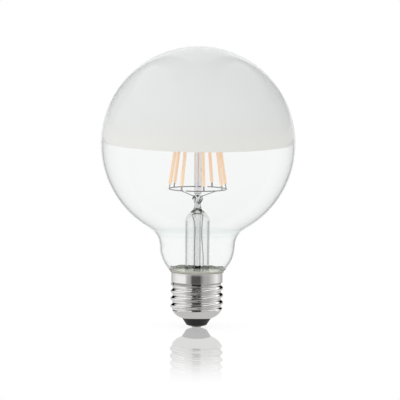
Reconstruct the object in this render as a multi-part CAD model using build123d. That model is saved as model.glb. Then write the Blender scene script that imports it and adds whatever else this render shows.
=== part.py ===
from build123d import *
import math
import os

# An LED filament globe bulb with a screw cap. The origin is the middle of the contact's
# flat tip, Z runs up the axis from the cap to the globe, and -Y is the front.

# Glass envelope: a straight collar, a curved neck and the globe
globe_radius = 48.0
glass_wall = 0.9
shoulder_blend = 10.0
neck_radius = 18.6
neck_curve = 17.0
neck_sweep = math.radians(49.2)
collar_radius = 11.6
collar_bottom = 19.3
collar_length = 5.952

# Satin coat inside the upper half, clear of the glass so that the two never cross. Its
# edge rises above the globe's middle, dips to the front and rolls up to the left.
satin_rise = 1.05
satin_dip = 2.45
satin_roll = 0.3
satin_coat = 0.15
satin_clearance = 0.25

# Glass stem: flare tube, press, exhaust tube and centre rod
flare_radius = 6.05
flare_wall = 1.0
flare_length = 33.1
bell_radius = 6.0
bell_rise = 6.9
shoulder_drop = 6.8
throat_radius = 1.9
outer_shoulder = ((5.45, 4.35), (4.1, 2.45), (2.75, 1.3))
inner_shoulder = ((4.4, 4.8), (3.1, 3.5))
exhaust_radius = 1.85
exhaust_bore = 1.2
exhaust_grip = 1.1
exhaust_drop = 1.7
exhaust_rise = 1.1
vent_rise = 1.3
vent_point = 0.7
blow_hole = 0.45
blow_hole_drop = 1.6
blow_hole_slope = 15.0
blow_hole_turn = 35.0
rod_radius = 1.83
rod_sink = 1.0
rod_point = 1.8
rod_bead = 2.5
bead_drop = 1.2

# The press, softened and given half a turn: for each level, its share of the height, its
# long and short half width, and its turn
press_height = 6.5
press_levels = (
    (0.0, 1.9, 1.9, 45.0),
    (0.25, 2.3, 1.65, 90.0),
    (0.5, 2.45, 1.55, 135.0),
    (0.74, 2.8, 1.65, 180.0),
    (0.87, 2.45, 1.65, 200.0),
    (1.0, 1.95, 1.7, 215.0),
)

# Filament cage: azimuths are counted from the front towards +X
filament_azimuths = (-81.0, -34.0, 12.0, 57.0, 102.0, 150.0, 183.0, 236.0)
filament_length = 35.0
filament_radius = 0.82
filament_lean = math.radians(8.7)
filament_foot_radius = 13.9
filament_rise = 5.2
filament_round = 0.45
tab_width = 0.9
tab_thickness = 0.3
tab_reach = 2.33
tab_bite = 1.2
ring_wire = 0.25
left_ring_ends = (176.0, 330.0)
right_ring_ends = (-24.0, 160.0)
left_arm_azimuth = -34.0
right_arm_azimuth = 40.0
lead_wire = 0.2
lead_spread = 1.1
arm_share = 0.68
anchor_wire = 0.22
anchor_bite = 0.6
anchor_azimuths = (-56.0, 34.0, 124.0, 214.0)

# Bends of the two lead-in wires on their way down, each as x, y and its drop from the throat
left_wire_bends = ((-1.55, 0.0, -0.1), (-2.25, 0.0, 2.1), (-1.25, -1.85, 8.3), (-1.25, -1.85, 15.3))
right_wire_bends = (
    (1.55, 0.0, -0.1), (2.25, 0.0, 2.1), (2.35, 0.0, 7.3), (2.3, 0.0, 15.8), (2.95, 0.0, 23.3),
    (3.0, 0.0, 29.3),
)

# Screw shell: a rolled knuckle thread, a plain skirt and a flared rim
thread_pitch = 3.629
thread_knuckle = 1.025
thread_crest = 13.1
thread_phase_height = 19.8
thread_floor = 3.5
thread_ceiling = 24.0
thread_fade = 20.5
thread_fade_radius = 12.4
thread_points = 16
thread_sections = 8
thread_seam = 0.13
shell_sheet = 0.3
skirt_radius = 12.8
skirt_bottom = 22.9
skirt_chamfer = 1.4
skirt_top = 26.5
rim_curve = 1.5
rim_sweep = math.radians(54.5)
bowl_radius = 8.3
bowl_centre = (5.0, 12.6)
shell_mouth = 7.2

# Insulator and contact
insulator_foot_radius = 5.05
insulator_foot_height = 1.25
insulator_swell = (3.9, 0.84)
insulator_top = 7.4
contact_radius = 2.45
contact_face = 1.8
contact_height = 0.5
contact_bevel = 0.25
contact_shank = 1.1
contact_shank_top = 6.9

# Basing cement
cement_bottom = 23.2
cement_top = 29.0
cement_over = 1.0
cement_lean = math.radians(42.8)
cement_waves = ((3, 0.22, 0.6), (7, 0.16, 0.0), (11, 0.12, 2.0))

# Driver in the cap: sizes are length, depth and height, places are x and y
board_radius = 9.5
board_thickness = 1.0
board_bottom = 14.0
rectifier_size = (3.9, 4.7, 1.6)
rectifier_place = (5.2, -3.2)
chip_size = (4.9, 3.9, 1.5)
chip_place = (-4.2, 2.6)
package_bevel = 0.3
resistor_radius = 1.2
resistor_length = 4.6
resistor_round = 0.45
resistor_drop = 1.1
hook_wire = 0.3
shell_lead = 0.2
shell_lead_rise = 1.6
shell_lead_inset = 1.2


def spun(edges):
    """Spin a closed half section, drawn as radius and height, round the axis."""
    return revolve(Plane.XZ * make_face(Curve() + edges), Axis.Z)


def one(shape):
    """The only solid of a shape."""
    solids = shape.solids()
    assert len(solids) == 1, len(solids)
    return solids[0]


def polar(centre, radius, angle):
    return (centre[0] + radius * math.cos(angle), centre[1] + radius * math.sin(angle))


def at_azimuth(azimuth, radius, height):
    """A point of the cage, its azimuth counted from the front towards +X."""
    turn = math.radians(azimuth)
    return Vector(radius * math.sin(turn), -radius * math.cos(turn), height)


# Heights and centres of the arcs that make the envelope's half section
collar_top = collar_bottom + collar_length
collar_excess = neck_radius - neck_curve * (1 - math.cos(neck_sweep)) - collar_radius
collar_turn = collar_excess / (1 - math.cos(neck_sweep))
collar_centre = (collar_radius + collar_turn, collar_top)
waist_height = collar_top + (neck_curve + collar_turn) * math.sin(neck_sweep)
waist_centre = (neck_radius - neck_curve, waist_height)
blend_angle = math.acos((neck_radius + shoulder_blend) / (globe_radius + shoulder_blend))
blend_centre = (neck_radius + shoulder_blend, waist_height)
globe_centre = waist_height + (globe_radius + shoulder_blend) * math.sin(blend_angle)
overall_height = globe_centre + globe_radius

# Heights along the stem
bell_top = collar_bottom + bell_rise
flare_throat = bell_top + flare_length
flare_shoulder = flare_throat - shoulder_drop
exhaust_top = flare_throat - exhaust_drop
exhaust_seat = exhaust_top - exhaust_grip
exhaust_tip = collar_bottom + exhaust_rise
press_top = flare_throat + press_height
rod_tip = press_top - rod_sink
rod_shoulder = rod_tip + rod_point
filament_foot_height = press_top + filament_rise
board_top = board_bottom + board_thickness


def envelope_line(inset):
    """The envelope's half section from the collar's mouth to the pole, moved in by inset."""
    sweep = math.degrees(neck_sweep)
    blend = math.degrees(blend_angle)
    mouth = (collar_radius - inset, collar_bottom)
    collar_end = (collar_radius - inset, collar_top)
    return [
        Line(mouth, collar_end),
        CenterArc(collar_centre, collar_turn + inset, 180, -sweep),
        CenterArc(waist_centre, neck_curve - inset, -sweep, sweep),
        CenterArc(blend_centre, shoulder_blend + inset, 180, -blend),
        CenterArc((0, globe_centre), globe_radius - inset, -blend, 90 + blend),
    ]


def make_globe():
    """The blown envelope: globe, neck and collar with one wall all over."""
    mouth = Line((collar_radius, collar_bottom), (collar_radius - glass_wall, collar_bottom))
    pole = Line((0, overall_height), (0, overall_height - glass_wall))
    return spun(envelope_line(0) + envelope_line(glass_wall) + [mouth, pole])


def make_satin_dome():
    """The satin coat, a skin on the inner face of the upper half, cut level but for a tilt."""
    outer = globe_radius - glass_wall - satin_clearance
    skin = Sphere(outer) - Sphere(outer - satin_coat)
    upper = Pos(0, 0, outer) * Box(4 * outer, 4 * outer, 2 * outer)
    kept = skin & Pos(0, 0, satin_rise) * Rot(satin_dip, satin_roll, 0) * upper
    return one(Pos(0, 0, globe_centre) * kept)


def flare_side(inset):
    """The flare tube's wall line: the bell that seals to the collar, and the straight side."""
    seal = collar_radius - glass_wall
    tube = flare_radius - inset
    curve = bell_radius + inset
    sweep = math.acos(1 - (seal - tube) / curve)
    bell = CenterArc((tube + curve, bell_top), curve, 180, math.degrees(sweep))
    side = Line((tube, bell_top), (tube, flare_shoulder))
    return bell, side


def below_throat(points):
    """Half-section points, given as radius and drop from the throat."""
    return [(radius, flare_throat - drop) for radius, drop in points]


def make_press():
    """The press: a softened column, flattened and given half a turn."""
    sections = []
    for share, wide, deep, turn in press_levels:
        height = flare_throat + press_height * share
        sections.append(Pos(0, 0, height) * Rot(0, 0, turn) * Ellipse(wide, deep))
    return loft(sections)


def make_stem_flare(lead_wires):
    """The flare tube, drawn in to a throat. The twisted press belongs on top of it.

    The finished solid ends at the throat: the vent's point lies 0.3 mm above the
    throat, the section crosses itself there, and the union loses the press.
    """
    outer_bell, outer_side = flare_side(0)
    inner_bell, inner_side = flare_side(flare_wall)
    throat = (throat_radius, flare_throat)
    seat = (exhaust_radius, exhaust_seat)
    outer_close = Spline(
        outer_side @ 1, *below_throat(outer_shoulder), throat, tangents=((0, 1), (0, 1))
    )
    inner_close = Spline(
        inner_side @ 1, *below_throat(inner_shoulder), seat, tangents=((0, 1), (-2, 1))
    )
    vent = exhaust_top + vent_rise
    socket = Polyline(
        seat, (exhaust_radius, exhaust_top), (exhaust_bore, exhaust_top), (exhaust_bore, vent),
        (0, vent + vent_point), (0, flare_throat), throat,
    )
    seal = Line(outer_bell @ 1, inner_bell @ 1)
    flare = spun(
        [outer_bell, outer_side, outer_close, inner_bell, inner_side, inner_close, seal]
        + list(socket.edges())
    )
    hole = Rot(0, 90 - blow_hole_slope, 0) * Cylinder(blow_hole, flare_radius)
    hole = Rot(0, 0, blow_hole_turn) * Pos(-flare_radius / 2, 0, flare_throat - blow_hole_drop) * hole
    stem = flare + make_press() - hole - rod_cone()
    for wire in lead_wires:
        stem = stem - wire
    return one(stem)


def make_exhaust_tube():
    """The exhaust tube, open in the press and melted shut at its lower tip."""
    outer = exhaust_radius
    bore = exhaust_bore
    tip = exhaust_tip
    wall = outer - bore
    straight = tip + 1.6 * outer
    inside = tip + 2 * wall
    outer_tip = Spline(
        (outer, straight), (0.6 * outer, tip + 0.5 * outer), (0, tip), tangents=((0, -1), (-1, -0.6))
    )
    inner_tip = Spline(
        (0, inside), (0.55 * bore, inside + wall), (bore, straight + wall), tangents=((1, 0.4), (0, 1))
    )
    return spun(
        [
            Line((bore, exhaust_top), (outer, exhaust_top)),
            Line((outer, exhaust_top), (outer, straight)),
            outer_tip,
            Line((0, tip), (0, inside)),
            inner_tip,
            Line((bore, straight + wall), (bore, exhaust_top)),
        ]
    )


def rod_cone():
    """The rod's pointed foot, which the press has closed round."""
    return Pos(0, 0, rod_tip + rod_point / 2) * Cone(0.001, rod_radius, rod_point)


# Where the cage's upper and lower rings run, on the line of the filaments
lower_ring_radius = filament_foot_radius + tab_reach * math.sin(filament_lean)
lower_ring_height = filament_foot_height - tab_reach * math.cos(filament_lean)
filament_run = filament_length + tab_reach
upper_ring_radius = filament_foot_radius - filament_run * math.sin(filament_lean)
upper_ring_height = filament_foot_height + filament_run * math.cos(filament_lean)


def make_centre_rod():
    """The solid glass rod: a pointed foot, a plain shaft and a melted bead at the head."""
    bead_centre = upper_ring_height - bead_drop
    join = bead_centre - math.sqrt(rod_bead**2 - rod_radius**2)
    start = math.degrees(math.asin((join - bead_centre) / rod_bead))
    return spun(
        [
            Line((0, rod_tip), (rod_radius, rod_shoulder)),
            Line((rod_radius, rod_shoulder), (rod_radius, join)),
            CenterArc((0, bead_centre), rod_bead, start, 90 - start),
            Line((0, bead_centre + rod_bead), (0, rod_tip)),
        ]
    )


def ring_arc(radius, height, start, end):
    """A length of round wire bent round the axis, from one azimuth to another."""
    section = Plane.XZ * Pos(radius, height) * Circle(ring_wire)
    return Rot(0, 0, start - 90) * revolve(section, Axis.Z, revolution_arc=end - start)


def along_filament(shape):
    """Stand a shape, drawn upright from the origin, on the front filament's lower end."""
    lean = math.degrees(filament_lean)
    return Pos(0, -filament_foot_radius, filament_foot_height) * Rot(-lean, 0, 0) * shape


def make_filament_set():
    """One filament at the front: its phosphor sleeve and its lower and upper tabs."""
    sleeve = extrude(Circle(filament_radius), filament_length)
    sleeve = fillet(sleeve.edges().filter_by(GeomType.CIRCLE), filament_round)
    tab_length = tab_reach + tab_bite
    tab = Box(tab_width, tab_thickness, tab_length)
    lower = Pos(0, 0, tab_bite - tab_length / 2) * tab
    upper = Pos(0, 0, filament_length - tab_bite + tab_length / 2) * tab
    sleeve = along_filament(sleeve - lower - upper)
    lower = along_filament(lower) - ring_arc(lower_ring_radius, lower_ring_height, -20, 20)
    upper = along_filament(upper) - ring_arc(upper_ring_radius, upper_ring_height, -20, 20)
    return one(sleeve), one(lower), one(upper)


def make_anchor(azimuth, rod, ring):
    """A wire from the rod's bead to the upper ring."""
    start = at_azimuth(azimuth, rod_bead - anchor_bite, upper_ring_height - bead_drop)
    end = at_azimuth(azimuth, upper_ring_radius, upper_ring_height)
    path = Line(start, end)
    wire = sweep(Plane(path @ 0, z_dir=path % 0) * Circle(anchor_wire), path=path)
    return one(wire - rod - ring)


def bent_wire(edges, radius):
    """A round wire swept along edges that follow on from one another."""
    path = Wire(edges)
    start = Plane(path @ 0, z_dir=path % 0)
    return sweep(start * Circle(radius), path=path)


def make_lead_wire(side, weld_azimuth, bends, ring):
    """A lead-in wire: from its weld on the ring through the press and down to the driver."""
    weld = at_azimuth(weld_azimuth, lower_ring_radius, lower_ring_height)
    press = Vector(side * lead_spread, 0, flare_throat + press_height * arm_share)
    elbow = press + (weld - press) * 0.12 + Vector(0, 0, 0.9)
    straight = Vector(side * lead_spread, 0, flare_throat + press_height * press_levels[1][0])
    drop = [Vector(x, y, flare_throat - fall) for x, y, fall in bends]
    down = Vector(0, 0, -1)
    edges = [
        Line(weld, elbow),
        Spline(elbow, press, tangents=((elbow - weld).normalized(), down)),
        Line(press, straight),
        Spline(straight, *drop, tangents=(down, down)),
        Line(drop[-1], Vector(drop[-1].X, drop[-1].Y, board_top)),
    ]
    return one(bent_wire(edges, lead_wire) - ring)


# Knuckle thread: equal crest and root arcs that meet at the flank angle
thread_flank = math.asin(thread_pitch / (4 * thread_knuckle))
thread_root = thread_crest - 2 * thread_knuckle * (1 - math.cos(thread_flank))


def thread_radius(phase, inset):
    """Radius of the thread at a phase of its pitch, 0 at the crest, moved in by inset."""
    run = abs((phase + 0.5) % 1.0 - 0.5) * thread_pitch
    if run < (thread_knuckle - inset) * math.sin(thread_flank):
        return thread_crest - thread_knuckle + math.sqrt((thread_knuckle - inset) ** 2 - run**2)
    run = thread_pitch / 2 - run
    return thread_root + thread_knuckle - math.sqrt((thread_knuckle + inset) ** 2 - run**2)


def thread_section(height, inset):
    """The thread cut level: a cam-shaped line, turned further round the higher it is cut."""
    points = []
    for step in range(thread_points):
        turn = thread_seam + step / thread_points
        radius = thread_radius((height - thread_phase_height) / thread_pitch - turn, inset)
        angle = 2 * math.pi * turn
        points.append(Vector(radius * math.cos(angle), radius * math.sin(angle), height))
    return Wire([Edge.make_spline(points, periodic=True)])


def thread_body(inset):
    """The thread filled solid, as a loft through its level sections."""
    climb = thread_ceiling - thread_floor
    levels = round(thread_sections * climb / thread_pitch)
    heights = [thread_floor + climb * level / levels for level in range(levels + 1)]
    return Solid.make_loft([thread_section(height, inset) for height in heights])


def bowl_line(inset):
    """The shell's rounded lower end, from the mouth out to the side."""
    curve = bowl_radius - inset
    start = -math.degrees(math.acos((shell_mouth - bowl_centre[0]) / curve))
    return CenterArc(bowl_centre, curve, start, -start)


def rim_line(inset):
    """The flared rim, from the top of the skirt to the rim's edge."""
    centre = (skirt_radius + rim_curve, skirt_top)
    return CenterArc(centre, rim_curve + inset, 180, -math.degrees(rim_sweep))


def shell_body(inset):
    """The screw shell filled solid: thread in the bowl's outline, with skirt and rim."""
    bowl = bowl_line(inset)
    side = bowl_centre[0] + bowl_radius - inset
    outline = Polyline(
        bowl @ 1, (side, thread_fade), (thread_fade_radius - inset, thread_ceiling),
        (0, thread_ceiling), (0, (bowl @ 0).Y), bowl @ 0,
    )
    threaded = thread_body(inset) & spun([bowl] + list(outline.edges()))
    rim = rim_line(inset)
    plain = skirt_radius - inset
    foot = skirt_bottom + 0.4 * inset
    skirt = Polyline(
        rim @ 0, (plain, foot), (plain - skirt_chamfer, foot - skirt_chamfer),
        (0, foot - skirt_chamfer), (0, (rim @ 1).Y), rim @ 1,
    )
    return threaded + spun([rim] + list(skirt.edges()))


def make_screw_shell():
    """The rolled sheet shell, open at the rim and at the insulator's mouth."""
    mouth = Pos(0, 0, (bowl_line(0) @ 0).Y) * Cylinder(shell_mouth, 2.0)
    return one(shell_body(0) - shell_body(shell_sheet) - mouth)


def make_insulator():
    """The black insulator, moulded into the shell's mouth round the contact."""
    bowl = bowl_line(shell_sheet)
    top_radius = bowl_centre[0] + math.sqrt(
        (bowl_radius - shell_sheet) ** 2 - (bowl_centre[1] - insulator_top) ** 2
    )
    start = math.atan2((bowl @ 0).Y - bowl_centre[1], (bowl @ 0).X - bowl_centre[0])
    end = math.atan2(insulator_top - bowl_centre[1], top_radius - bowl_centre[0])
    seat = CenterArc(
        bowl_centre, bowl_radius - shell_sheet, math.degrees(start), math.degrees(end - start)
    )
    shell_edge = (bowl_line(0) @ 0).Y
    foot = (insulator_foot_radius, insulator_foot_height)
    rim = (contact_radius, contact_height)
    dome = ThreePointArc(rim, insulator_swell, foot)
    rest = Polyline(foot, (shell_mouth, shell_edge), seat @ 0)
    cap = Polyline(seat @ 1, (contact_shank, insulator_top), (contact_shank, contact_height), rim)
    return spun([dome, seat] + list(rest.edges()) + list(cap.edges()))


def make_contact():
    """The contact rivet: a flat-tipped head and a shank through the insulator."""
    outline = Polyline(
        (0, 0), (contact_face, 0), (contact_radius, contact_bevel), (contact_radius, contact_height),
        (contact_shank, contact_height), (contact_shank, contact_shank_top), (0, contact_shank_top),
        (0, 0),
    )
    return spun(list(outline.edges()))


def wavy_edge(radius):
    """A closed line round the axis at the height of the cement's uneven upper edge."""
    points = []
    for step in range(32):
        turn = 2 * math.pi * step / 32
        height = cement_top + sum(
            swing * math.sin(count * turn + start) for count, swing, start in cement_waves
        )
        points.append(Vector(radius * math.cos(turn), radius * math.sin(turn), height))
    return Edge.make_spline(points, periodic=True)


def make_cement():
    """The basing cement between the collar and the skirt, its upper edge uneven."""
    rim = rim_line(shell_sheet)
    lip = rim @ 1
    top = cement_top + cement_over
    inside = collar_radius - glass_wall
    outline = Polyline(
        lip, (lip.X + (top - lip.Y) * math.tan(cement_lean), top), (inside, top),
        (inside, cement_bottom), (skirt_radius - shell_sheet, cement_bottom), rim @ 0,
    )
    body = spun([rim] + list(outline.edges()))
    axis_line = Polyline((0, overall_height), (0, collar_bottom), (collar_radius, collar_bottom))
    glass = spun(envelope_line(0) + list(axis_line.edges()))
    surface = Face.make_surface_from_curves(wavy_edge(collar_radius - 2), wavy_edge(skirt_radius + 4))
    over = Solid.extrude(surface, (0, 0, 2 * cement_over + 2))
    return one(body - glass - over)


def make_package(size, place, base, face):
    """A moulded package with its outer face bevelled, standing on the board or hung below."""
    length, depth, height = size
    body = Pos(*place, base + face * height / 2) * Box(length, depth, height)
    return chamfer(body.edges().group_by(Axis.Z)[-1 if face > 0 else 0], package_bevel)


# Where the fuse resistor's body ends, below the board
resistor_high = board_bottom - resistor_drop
resistor_low = resistor_high - resistor_length


def make_driver():
    """The driver: board, rectifier, chip and fuse resistor."""
    board = Pos(0, 0, (board_bottom + board_top) / 2) * Cylinder(board_radius, board_thickness)
    rectifier = make_package(rectifier_size, rectifier_place, board_top, 1)
    chip = make_package(chip_size, chip_place, board_bottom, -1)
    resistor = Pos(0, 0, (resistor_low + resistor_high) / 2) * Cylinder(resistor_radius, resistor_length)
    resistor = fillet(resistor.edges().filter_by(GeomType.CIRCLE), resistor_round)
    return board, rectifier, chip, resistor


def upright_wire(low, high):
    """A straight piece of the fuse resistor's lead, on the axis."""
    return Pos(0, 0, (low + high) / 2) * Cylinder(hook_wire, high - low)


def make_shell_wire(shell):
    """The wire from the board to the inside of the screw shell."""
    height = board_top + shell_lead_rise
    phase = (height - thread_phase_height) / thread_pitch
    wall = thread_radius(phase, shell_sheet) + shell_sheet / 2
    foot = Vector(board_radius - shell_lead_inset, 0, board_top)
    knee = Vector(board_radius - 2 * shell_lead, 0, height)
    edges = [
        Spline(foot, knee, tangents=((0, 0, 1), (1, 0, 0))),
        Line(knee, Vector(wall, 0, height)),
    ]
    return one(bent_wire(edges, shell_lead) - shell)


def save(name, shape):
    export_step(shape, f"parts/{name}.step")


os.makedirs("parts", exist_ok=True)

# Glass and coat
rod = make_centre_rod()
save("glass_globe", make_globe())
save("satin_dome", make_satin_dome())
save("exhaust_tube", make_exhaust_tube())
save("centre_rod", rod)

# Rings, lead-in wires and the stem that they pass through
ring_left = ring_arc(lower_ring_radius, lower_ring_height, *left_ring_ends)
ring_right = ring_arc(lower_ring_radius, lower_ring_height, *right_ring_ends)
ring_upper = ring_arc(upper_ring_radius, upper_ring_height, 0, 360)
lead_left = make_lead_wire(-1, left_arm_azimuth, left_wire_bends, ring_left)
lead_right = make_lead_wire(1, right_arm_azimuth, right_wire_bends, ring_right)
save("ring_lower_left", ring_left)
save("ring_lower_right", ring_right)
save("ring_upper", ring_upper)
save("lead_wire_left", lead_left)
save("lead_wire_right", lead_right)
save("stem_flare", make_stem_flare((lead_left, lead_right)))
for number, azimuth in enumerate(anchor_azimuths, 1):
    save(f"anchor_wire_{number}", make_anchor(azimuth, rod, ring_upper))

# Filaments
sleeve, lower_tab, upper_tab = make_filament_set()
for number, azimuth in enumerate(filament_azimuths, 1):
    turn = Rot(0, 0, azimuth)
    save(f"filament_{number}", turn * sleeve)
    save(f"tab_lower_{number}", turn * lower_tab)
    save(f"tab_upper_{number}", turn * upper_tab)

# Cap
shell = make_screw_shell()
save("screw_shell", shell)
save("cap_cement", make_cement())
save("insulator", make_insulator())
save("centre_contact", make_contact())

# Driver
board, rectifier, chip, resistor = make_driver()
save("driver_board", board)
save("rectifier", rectifier)
save("driver_chip", chip)
save("fuse_resistor", resistor)
save("contact_wire", upright_wire(contact_shank_top, resistor_low))
save("resistor_wire", upright_wire(resistor_high, board_bottom))
save("shell_wire", make_shell_wire(shell))
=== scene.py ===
import math

import bmesh
import bpy
from mathutils import Matrix, Vector


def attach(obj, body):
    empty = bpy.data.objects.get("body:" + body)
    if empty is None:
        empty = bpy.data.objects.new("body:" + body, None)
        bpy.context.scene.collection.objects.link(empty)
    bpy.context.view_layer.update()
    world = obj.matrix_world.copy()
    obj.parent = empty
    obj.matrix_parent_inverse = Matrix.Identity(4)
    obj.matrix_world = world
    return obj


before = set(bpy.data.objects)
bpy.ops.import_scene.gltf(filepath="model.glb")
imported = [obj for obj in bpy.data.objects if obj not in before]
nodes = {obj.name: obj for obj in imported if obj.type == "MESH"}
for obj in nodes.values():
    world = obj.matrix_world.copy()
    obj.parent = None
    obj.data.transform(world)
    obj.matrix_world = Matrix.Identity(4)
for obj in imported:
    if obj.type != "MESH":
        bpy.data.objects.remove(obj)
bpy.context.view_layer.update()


# Stem glass: the flare tube, the exhaust tube inside it and the solid centre rod above.
# All three are drawn lead-free glass, softened in a flame and pressed together.
class Tone:
    """A shader socket that Python's operators work on. Each operation adds a Math node."""

    def __init__(self, tree, socket=None):
        self.tree = tree
        self.socket = socket

    def node(self, kind, settings=None, values=None, output=0):
        """Add a node: its settings come first, then the values or links of its sockets."""
        made = self.tree.nodes.new(kind)
        for name, setting in (settings or {}).items():
            if name == "stops":
                while len(made.color_ramp.elements) < len(setting):
                    made.color_ramp.elements.new(1.0)
                for element, (place, shade) in zip(made.color_ramp.elements, setting):
                    element.position = place
                    element.color = (shade, shade, shade, 1.0)
            else:
                setattr(made, name, setting)
        for key, value in (values or {}).items():
            if isinstance(value, Tone):
                self.tree.links.new(value.socket, made.inputs[key])
            else:
                made.inputs[key].default_value = value
        return Tone(self.tree, made.outputs[output])

    def maths(self, operation, *values):
        return self.node("ShaderNodeMath", {"operation": operation}, dict(enumerate(values)))

    def __add__(self, other):
        return self.maths("ADD", self, other)

    def __radd__(self, other):
        return self.maths("ADD", other, self)

    def __sub__(self, other):
        return self.maths("SUBTRACT", self, other)

    def __rsub__(self, other):
        return self.maths("SUBTRACT", other, self)

    def __mul__(self, other):
        return self.maths("MULTIPLY", self, other)

    def __rmul__(self, other):
        return self.maths("MULTIPLY", other, self)

    def __truediv__(self, other):
        return self.maths("DIVIDE", self, other)

    def rise(self, low, high):
        """0 below low, 1 above high and an eased change between them."""
        settings = {"interpolation_type": "SMOOTHSTEP"}
        return self.node(
            "ShaderNodeMapRange", settings, {"Value": self, "From Min": low, "From Max": high}
        )

    def mix(self, first, second):
        """From the first colour to the second, by this value."""
        settings = {"data_type": "RGBA"}
        return self.node("ShaderNodeMix", settings, {0: self, 6: first, 7: second}, output=2)


def new_finish(name, **uniform):
    """A material with its Principled shader's uniform values set, and a start for its maths."""
    material = bpy.data.materials.new(name)
    material.use_nodes = True
    tree = material.node_tree
    shader = tree.nodes["Principled BSDF"]
    for key, value in uniform.items():
        shader.inputs[key.replace("_", " ").title().replace("Ior", "IOR")].default_value = value
    return material, shader, Tone(tree)


def feed(shader, socket, tone):
    tone.tree.links.new(tone.socket, shader.inputs[socket])


def place_of(start):
    """The Object coordinates, as a vector and as three values."""
    vector = start.node("ShaderNodeTexCoord", output="Object")
    return vector, *split(start, vector)


def split(start, vector):
    """A vector's three values."""
    kind = "ShaderNodeSeparateXYZ"
    return [start.node(kind, None, {0: vector}, output=axis) for axis in range(3)]


def noise(start, vector, scale, detail=2.0):
    values = {"Vector": vector, "Scale": scale, "Detail": detail, "Roughness": 0.5}
    return start.node("ShaderNodeTexNoise", None, values)


def bumps(start, height, strength, depth):
    """A bumpy normal."""
    values = {"Strength": strength, "Distance": depth, "Height": height}
    return start.node("ShaderNodeBump", None, values)


def grainy(name, dark, bright, grain, rough_low, rough_change, rough_grain, **uniform):
    """A material whose colour and roughness both vary with a noise of their own."""
    material, shader, start = new_finish(name, **uniform)
    vector, x, y, z = place_of(start)
    feed(shader, "Base Color", noise(start, vector, grain).mix((*dark, 1.0), (*bright, 1.0)))
    feed(shader, "Roughness", rough_low + rough_change * noise(start, vector, rough_grain))
    return material


def dress(material, *names):
    """Give CAD nodes this material."""
    for name in names:
        mesh = nodes[name].data
        mesh.materials.clear()
        mesh.materials.append(material)


def clear_glass(name, skin, tint, density, rough_high, ior=1.5):
    """Refracting glass with a faint tint in its skin and body and hardly any haze.

    Returns the material, its shader, a start for more maths and the skin's colour.
    """
    material, shader, start = new_finish(name, transmission_weight=1.0, ior=ior)
    vector, x, y, z = place_of(start)
    feed(shader, "Roughness", noise(start, vector, 60.0) * rough_high)
    paler = tuple(0.5 + 0.5 * part for part in skin)
    coat = noise(start, vector, 25.0).mix((*skin, 1.0), (*paler, 1.0))
    feed(shader, "Base Color", coat)
    body = start.node("ShaderNodeVolumeAbsorption", None, {"Color": tint, "Density": density})
    output = start.tree.nodes["Material Output"]
    start.tree.links.new(body.socket, output.inputs["Volume"])
    return material, shader, start, coat


# The thin tubes' index is set low, to keep stray mirror lines off their walls.
tube_skin, tube_tint = (0.995, 1.0, 0.998), (0.50, 0.54, 0.53, 1.0)
stem_glass = clear_glass("stem_glass", tube_skin, tube_tint, 60.0, 0.01, 1.4)[0]
dress(stem_glass, "stem_flare", "exhaust_tube")
rod_skin, rod_tint = (0.97, 0.965, 0.97), (0.62, 0.58, 0.60, 1.0)
rod_glass = clear_glass("rod_glass", rod_skin, rod_tint, 160.0, 0.02)[0]
dress(rod_glass, "centre_rod")


# Stem press: the soft end of the flare tube, pinched and twisted round the lead-in wires
# and the rod's pointed foot. In the real stem it is one body of glass with the flare; the
# stem_flare node ends at the throat, so the press is a piece of its own here.
mm = 0.001
press_segments = 32

# For each level: its height, its long and short half width, and its turn in degrees. The
# last two levels are the hollow in the top that takes the rod's point.
press_rows = [
    (59.25, 1.75, 1.75, 40), (59.5, 1.95, 1.85, 50), (60.2, 2.15, 1.7, 70),
    (60.9, 2.3, 1.65, 90), (61.7, 2.45, 1.55, 112), (62.5, 2.6, 1.5, 135),
    (63.3, 2.75, 1.55, 158), (64.1, 2.8, 1.6, 180), (64.9, 2.5, 1.65, 200),
    (65.5, 2.1, 1.7, 212), (65.75, 1.8, 1.6, 215), (65.75, 1.2, 1.2, 215),
    (64.75, 0.1, 0.1, 215),
]


def level_place(height, long_half, short_half, turned):
    """Where a unit circle goes to become that level."""
    return (
        Matrix.Translation((0.0, 0.0, height * mm))
        @ Matrix.Rotation(math.radians(turned), 4, "Z")
        @ Matrix.Diagonal((long_half * mm, short_half * mm, 1.0, 1.0))
    )


form = bmesh.new()
places = [level_place(*row) for row in press_rows]
bmesh.ops.create_circle(
    form, cap_ends=True, segments=press_segments, radius=1.0, matrix=places[0]
)
edges = form.edges[:]
for before, after in zip(places, places[1:]):
    drawn = bmesh.ops.extrude_edge_only(form, edges=edges)["geom"]
    edges = [part for part in drawn if isinstance(part, bmesh.types.BMEdge)]
    verts = [part for part in drawn if isinstance(part, bmesh.types.BMVert)]
    bmesh.ops.transform(form, matrix=after @ before.inverted(), verts=verts)
bmesh.ops.edgeloop_fill(form, edges=edges)
bmesh.ops.recalc_face_normals(form, faces=form.faces[:])
for face in form.faces:
    face.smooth = True
mesh = bpy.data.meshes.new("stem_press")
form.to_mesh(mesh)
form.free()
stem_press = bpy.data.objects.new("stem_press", mesh)
bpy.context.scene.collection.objects.link(stem_press)
smoothing = stem_press.modifiers.new("smoothing", "SUBSURF")
smoothing.levels = 2
smoothing.render_levels = 2
press_skin, press_tint = (0.95, 0.95, 0.95), (0.50, 0.50, 0.50, 1.0)
press_glass, shader, start = clear_glass("press_glass", press_skin, press_tint, 200.0, 0.01)[:3]
vector, x, y, z = place_of(start)
feed(shader, "Normal", bumps(start, noise(start, vector, 700.0), 0.7, 0.6 * mm))
mesh.materials.append(press_glass)
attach(stem_press, "root")


# Wires: the two lead-in wires, the halves of the lower ring that they are welded to, the
# upper ring and its four anchors. All are plain drawn wire of nickel iron, bent to shape.
anchor_count = 4

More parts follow.
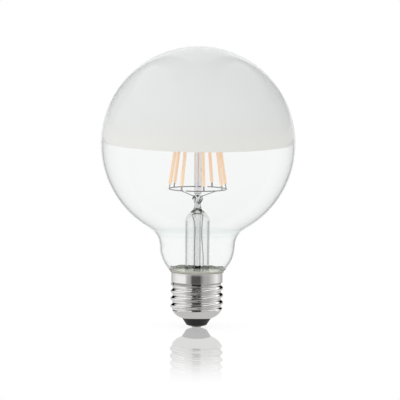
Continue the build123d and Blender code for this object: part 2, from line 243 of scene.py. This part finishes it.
wire_dark, wire_bright = (0.30, 0.30, 0.31), (0.48, 0.48, 0.49)
bright_wire = grainy(
    "bright_wire", wire_dark, wire_bright, 900.0, 0.28, 0.2, 400.0, metallic=1.0
)
dress(bright_wire, "lead_wire_left", "lead_wire_right")
dress(bright_wire, "ring_lower_left", "ring_lower_right", "ring_upper")
dress(bright_wire, *[f"anchor_wire_{number}" for number in range(1, anchor_count + 1)])


# Filaments: eight strips of tiny LED chips in a peach silicone sleeve that holds the
# phosphor, with a flat metal tab at each end. The tabs are spot-welded to the rings. The
# faint glow is painted light, standing for the light that the phosphor gives back.
filament_count = 8

# Painted light: a faint emission in the sleeve's own peach colour.
phosphor, shader, start = new_finish("phosphor", emission_strength=0.13)
vector, x, y, z = place_of(start)
mottle = noise(start, vector, 700.0, 3.0)
peach = mottle.mix((0.98, 0.65, 0.42, 1.0), (1.0, 0.81, 0.62, 1.0))
feed(shader, "Base Color", peach)
feed(shader, "Emission Color", peach)
feed(shader, "Roughness", 0.42 + 0.2 * noise(start, vector, 300.0))
dress(phosphor, *[f"filament_{number}" for number in range(1, filament_count + 1)])

tab_dark, tab_bright = (0.42, 0.41, 0.40), (0.60, 0.59, 0.57)
tab_steel = grainy("tab_steel", tab_dark, tab_bright, 900.0, 0.28, 0.2, 400.0, metallic=1.0)
dress(tab_steel, *[f"tab_lower_{number}" for number in range(1, filament_count + 1)])
dress(tab_steel, *[f"tab_upper_{number}" for number in range(1, filament_count + 1)])


# Envelope: the clear globe, blown in a mould in one piece with its neck and collar. The
# collar is melted to the stem's bell. The glass is greener where it is thick, round the
# shoulder's corner, and its index is set low, to keep the studio's mirror image faint.
corner_low, corner_high, corner_fade = 46.6 * mm, 47.0 * mm, 1.0 * mm

globe_skin, globe_tint = (0.965, 0.967, 0.965), (0.20, 0.72, 0.62, 1.0)
globe_glass, shader, start, coat = clear_glass(
    "clear_glass", globe_skin, globe_tint, 10.0, 0.005, 1.2
)
vector, x, y, z = place_of(start)
corner = z.rise(corner_low - 1.1 * corner_fade, corner_low)
corner = corner * z.rise(corner_high + corner_fade, corner_high)
feed(shader, "Base Color", corner.mix(coat, (0.915, 0.955, 0.945, 1.0)))
dress(globe_glass, "glass_globe")


# Satin coat: a thin white layer sprayed inside the upper half of the globe. It has a
# sharp lower edge where the glass was masked. Near that edge a warmer tone is painted on: painted
# light, the peach filaments' glow thrown onto the coat.
painted_glow_from, painted_glow_to = 108 * mm, 88 * mm

satin_white, shader, start = new_finish("satin_white")
vector, x, y, z = place_of(start)
cloud = noise(start, vector, 30.0)
white = cloud.mix((0.82, 0.822, 0.82, 1.0), (0.86, 0.862, 0.86, 1.0))
# Painted light: a warmer tone towards the coat's lower edge, near the filaments.
feed(shader, "Base Color", z.rise(painted_glow_from, painted_glow_to).mix(white, (0.86, 0.845, 0.81, 1.0)))
feed(shader, "Roughness", 0.55 + 0.15 * noise(start, vector, 500.0))
dress(satin_white, "satin_dome")


# Driver: a round board in the cap, with a rectifier, a driver chip and a fuse resistor.
# Thin wires join it to the shell and to the contact.
board_dark, board_bright = (0.70, 0.71, 0.68), (0.80, 0.81, 0.78)
board_white = grainy("board_white", board_dark, board_bright, 400.0, 0.35, 0.15, 900.0)
dress(board_white, "driver_board")

black_dark, black_bright = (0.012, 0.012, 0.013), (0.03, 0.03, 0.032)
part_black = grainy("part_black", black_dark, black_bright, 1500.0, 0.5, 0.2, 900.0)
dress(part_black, "rectifier", "driver_chip")

body_dark, body_bright = (0.10, 0.22, 0.15), (0.14, 0.28, 0.19)
resistor_body = grainy("resistor_body", body_dark, body_bright, 500.0, 0.3, 0.1, 900.0)
dress(resistor_body, "fuse_resistor")
dress(bright_wire, "contact_wire", "resistor_wire", "shell_wire")


# Basing cement: a greenish grey paste that is baked hard between the collar and the
# skirt. It squeezes up past the rim and sets with an uneven edge. The part inside the
# collar is painted paler and made to glow a little: painted light, in place of the light that the
# glass holds back.
collar_outside, collar_inside = 12.9 * mm, 11.9 * mm

cement, shader, start = new_finish("cement", emission_strength=1.0)
vector, x, y, z = place_of(start)
grit = noise(start, vector, 900.0, 4.0)
blotch = noise(start, vector, 200.0)
stone = (grit * 0.6 + blotch * 0.4).mix((0.32, 0.32, 0.28, 1.0), (0.58, 0.58, 0.51, 1.0))
# Painted light: inside the collar the cement is paler and glows, in place of light the glass holds
# back.
painted_light_inside = start.maths("SQRT", x * x + y * y).rise(collar_outside, collar_inside)
painted_light_stone = blotch.mix((0.80, 0.80, 0.74, 1.0), (0.92, 0.92, 0.87, 1.0))
feed(shader, "Base Color", painted_light_inside.mix(stone, painted_light_stone))
feed(shader, "Emission Color", painted_light_inside.mix((0.0, 0.0, 0.0, 1.0), (0.36, 0.36, 0.33, 1.0)))
feed(shader, "Roughness", 0.8 + 0.15 * blotch)
feed(shader, "Normal", bumps(start, grit, 0.6, 0.3 * mm))
dress(cement, "cap_cement")


# Screw shell: nickel-plated sheet brass, drawn to a cup, with the thread rolled into it
# and the rim flared to take the glass.
nickel, shader, start = new_finish("nickel", metallic=1.0)
vector, x, y, z = place_of(start)
tarnish = noise(start, vector, 120.0, 3.0)
feed(shader, "Base Color", tarnish.mix((0.89, 0.88, 0.865, 1.0), (0.95, 0.94, 0.925, 1.0)))
feed(shader, "Roughness", 0.02 + 0.05 * noise(start, vector, 700.0))
dress(nickel, "screw_shell")


# Insulator: black glass, melted into the shell's mouth round the contact.
glass_dark, glass_bright = (0.010, 0.010, 0.011), (0.018, 0.018, 0.019)
black_insulator = grainy(
    "black_insulator", glass_dark, glass_bright, 300.0, 0.32, 0.12, 800.0, specular_ior_level=0.3
)
dress(black_insulator, "insulator")


# Centre contact: a tinned brass rivet whose flat head touches the holder's spring.
tin_dark, tin_bright = (0.50, 0.47, 0.42), (0.66, 0.63, 0.57)
contact_metal = grainy("contact_metal", tin_dark, tin_bright, 600.0, 0.3, 0.15, 900.0, metallic=1.0)
dress(contact_metal, "centre_contact")


# Studio round the bulb: pure white to the camera. The metal mirrors walls that are darker
# at the front, where the camera stands, and overhead. Paint is lit by an even soft light.
pure_white = (1.0, 1.0, 1.0, 1.0)


def grey(start, level):
    """A tone as a colour."""
    return start.node("ShaderNodeCombineColor", None, {0: level, 1: level, 2: level})


def ray_past(start, kind, count):
    """1 for a ray that has had at least this many bounces of this kind, else 0."""
    depth = start.node("ShaderNodeLightPath", output=kind + " Depth")
    return depth.rise(count - 0.6, count - 0.4)


def azimuth_share(start, x, y):
    """How far round from the front a direction is: 0.5 is the front, 0.75 is +X."""
    return start.maths("ARCTAN2", x, 0.0 - y) / (2 * math.pi) + 0.5


# Angle from the front in degrees, with +X at 90, and how bright the wall is there
wall_levels = [
    (-180, 1.0), (-163, 1.0), (-155, 0.45), (-140, 0.55), (-126, 0.68), (-95, 0.9),
    (-55, 0.93), (-42, 0.46), (-29, 0.38), (-21, 0.09), (12, 0.08), (19, 0.2), (26, 0.33),
    (33, 0.4), (52, 0.42), (75, 0.66), (95, 0.9), (131, 0.5), (155, 0.45), (163, 1.0),
    (180, 1.0),
]
wall_stops = [(angle / 360.0 + 0.5, level) for angle, level in wall_levels]

world = bpy.data.worlds.new("studio")
bpy.context.scene.world = world
world.use_nodes = True
world.cycles.sampling_method = "NONE"
start = Tone(world.node_tree)
x, y, z = split(start, start.node("ShaderNodeTexCoord", output="Generated"))
turn = azimuth_share(start, x, y)
walls = start.node("ShaderNodeValToRGB", {"stops": wall_stops}, {0: turn})
off_front = start.maths("ABSOLUTE", turn - 0.5) * 360.0

# Over the walls: a bright ceiling with a dark strip from front to back. Behind the bulb its
# lower part is black, apart from a white panel straight behind.
above = 0.35 + 0.75 * z.rise(0.45, 0.60)
strip_side = (start.maths("ABSOLUTE", x + 0.03) + z * 0.05).rise(0.33, 0.40)
above = 0.02 + (above - 0.02) * strip_side
above = above * (1.0 - off_front.rise(120, 128) * z.rise(0.55, 0.45))
above = above.maths("MAXIMUM", above, off_front.rise(163, 168) * z.rise(0.95, 0.85))
once = z.rise(0.05, 0.10).mix(walls, grey(start, above))
twice = grey(start, 0.45 * off_front.rise(14, 26))
metal_sees = ray_past(start, "Glossy", 2).mix(once, twice)
through_glass = ray_past(start, "Transmission", 1)
metal_sees = through_glass.mix(metal_sees, (0.9, 0.9, 0.9, 1.0))

soft = 0.95 - z * 0.04 - x * 0.19 - y * 0.10
light = ray_past(start, "Glossy", 1).mix(pure_white, metal_sees)
light = ray_past(start, "Diffuse", 1).mix(light, grey(start, soft))
feed(world.node_tree.nodes["Background"], "Color", light)


# Floor: a glossy white sheet. It keeps a faint shadow, and near the bulb it mirrors the
# cap, more weakly the further forward one looks.
floor_radius = 2.5
floor_drop = 0.02 * mm
mirror_share = 0.53
mirror_front, mirror_full = -185 * mm, -70 * mm
mirror_side, mirror_side_fade = 16 * mm, 9 * mm
shadow_share = 0.25
shadow_radius = 30 * mm

form = bmesh.new()
bmesh.ops.create_circle(form, cap_ends=True, segments=96, radius=floor_radius)
mesh = bpy.data.meshes.new("floor")
form.to_mesh(mesh)
form.free()
floor = bpy.data.objects.new("floor", mesh)
bpy.context.scene.collection.objects.link(floor)
floor.location = (0.0, 0.0, -floor_drop)

floor_white = bpy.data.materials.new("floor_white")
floor_white.use_nodes = True
tree = floor_white.node_tree
tree.nodes.remove(tree.nodes["Principled BSDF"])
start = Tone(tree)
vector, x, y, z = place_of(start)
distance = start.maths("SQRT", x * x + y * y)

# What the metal sees of the floor: grey close by, a painted shadow of the bulb, and the walls' own
# pattern further off
walls = start.node("ShaderNodeValToRGB", {"stops": wall_stops}, {0: azimuth_share(start, x, y)})
painted_shadow_near = (0.85 * distance.rise(18 * mm, 26 * mm)).mix((0.55, 0.55, 0.55, 1.0), walls)
once = distance.rise(0.15, 0.20).mix(painted_shadow_near, walls)
# Painted shadow: a ray mirrored twice sees the floor grey out to 30 to 50 mm.
twice = distance.rise(30 * mm, 50 * mm).mix((0.5, 0.5, 0.5, 1.0), walls)
metal_sees = ray_past(start, "Glossy", 2).mix(once, twice)
mirrored = ray_past(start, "Glossy", 1)
plain = start.node("ShaderNodeEmission", None, {0: mirrored.mix(pure_white, metal_sees), 1: 1.0})

chalk = start.node("ShaderNodeBsdfDiffuse", None, {0: pure_white})
shaded = shadow_share * (1.0 - distance.rise(4 * mm, shadow_radius)) * (1.0 - mirrored)
sheet = start.node("ShaderNodeMixShader", None, {0: shaded, 1: plain, 2: chalk})
gloss = start.node("ShaderNodeBsdfGlossy", None, {0: pure_white, "Roughness": 0.0})
seen = start.node("ShaderNodeLightPath", output="Is Camera Ray")
lengthwise = y.rise(mirror_front, mirror_full) * y.rise(30 * mm, -2 * mm)
sideways = start.maths("ABSOLUTE", x).rise(mirror_side + mirror_side_fade, mirror_side)
share = mirror_share * lengthwise * sideways * seen
surface = start.node("ShaderNodeMixShader", None, {0: share, 1: sheet, 2: gloss})
tree.links.new(surface.socket, tree.nodes["Material Output"].inputs["Surface"])
mesh.materials.append(floor_white)


# Camera: a long lens a little above the bulb's middle, turned so that the bulb leans as
# it does in the photograph.
camera_distance = 1.3
camera_lens = 237.0
camera_elevation = math.radians(5.0)
camera_roll = math.radians(0.55)
camera_target = Vector((0.00115, 0.0, 0.0632))

back = Vector((0.0, -math.cos(camera_elevation), math.sin(camera_elevation)))
camera_data = bpy.data.cameras.new("camera")
camera_data.lens = camera_lens
camera_data.sensor_width = 36.0
camera_data.clip_start = 0.05
camera_data.clip_end = 30.0
camera = bpy.data.objects.new("camera", camera_data)
bpy.context.scene.collection.objects.link(camera)
aim = (-back).to_track_quat("-Z", "Y").to_matrix().to_4x4()
place = Matrix.Translation(camera_target + back * camera_distance)
camera.matrix_world = place @ aim @ Matrix.Rotation(camera_roll, 4, "Z")
bpy.context.scene.camera = camera
bpy.context.scene.view_settings.view_transform = "Standard"
bpy.context.scene.cycles.blur_glossy = 0.0
